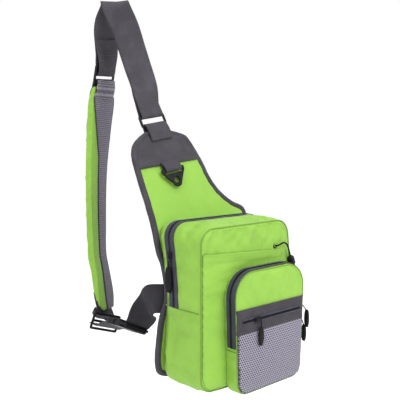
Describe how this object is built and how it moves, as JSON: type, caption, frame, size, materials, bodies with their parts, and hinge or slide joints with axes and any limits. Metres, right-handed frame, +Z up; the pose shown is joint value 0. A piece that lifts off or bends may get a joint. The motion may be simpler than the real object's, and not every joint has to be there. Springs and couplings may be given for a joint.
{
  "type": "fishing tackle sling bag",
  "caption": "One-shoulder fishing tackle sling bag with a padded back panel, hollow main compartment, mesh-faced front pocket and padded adjustable strap.",
  "frame": {"origin": "underside of the strap's top fold, where it lies on the wearer's shoulder", "axes": "+Z up as worn, -Y towards the pocket side, +X towards the side that the front pocket sits nearer to"},
  "size_m": [0.272, 0.3849, 0.6835],
  "materials": {
    "green_cloth": "coated woven polyester, slight sheen",
    "dark_cloth": "coarse woven polyester",
    "dark_webbing": "ribbed webbing",
    "air_mesh": "open hexagonal air mesh",
    "zip_tape": "zip tape with coil teeth",
    "dark_cord": "braided cord",
    "black_plastic": "moulded, fine grain"
  },
  "bodies": {
    "bag": {"back_panel": "green_cloth", "panel_binding": "dark_webbing", "yoke_patch": "dark_cloth", "strap_ring": "black_plastic", "ring_tab": "dark_webbing", "shoulder_strap": "dark_webbing", "pad_slider": "black_plastic", "shoulder_pad": "green_cloth", "pad_mesh": "air_mesh", "pad_top_patch": "dark_webbing", "buckle_socket": "black_plastic", "buckle_plug": "black_plastic", "tail_slider": "black_plastic", "pad_end_web": "dark_webbing", "side_strap": "dark_webbing", "main_shell": "green_cloth", "main_zip_tape": "zip_tape", "main_zip_slider": "black_plastic", "main_zip_pull": "black_plastic", "pocket_shell": "green_cloth", "pocket_zip": "zip_tape", "slip_pocket": "green_cloth", "pocket_hem": "dark_cloth", "pocket_mesh": "air_mesh", "hem_zip": "zip_tape", "hem_slider": "black_plastic", "hem_pull": "black_plastic", "pocket_slider_upper": "black_plastic", "pocket_pull_upper": "black_plastic", "pocket_slider_lower": "black_plastic", "pocket_pull_lower": "black_plastic", "eyelet": "black_plastic", "drawcord": "dark_cord", "cord_lock": "black_plastic", "ring_strap_tab": "dark_webbing"},
    "ring": {"tab_ring": "black_plastic"}
  },
  "joints": [
    {"name": "ring_swing", "type": "hinge", "parent": "bag", "child": "ring", "pos_m": [0.0385, -0.12021, -0.30631], "axis": [-0.9833, -0.0616, -0.1715], "range_deg": [0, 110]}
  ]
}
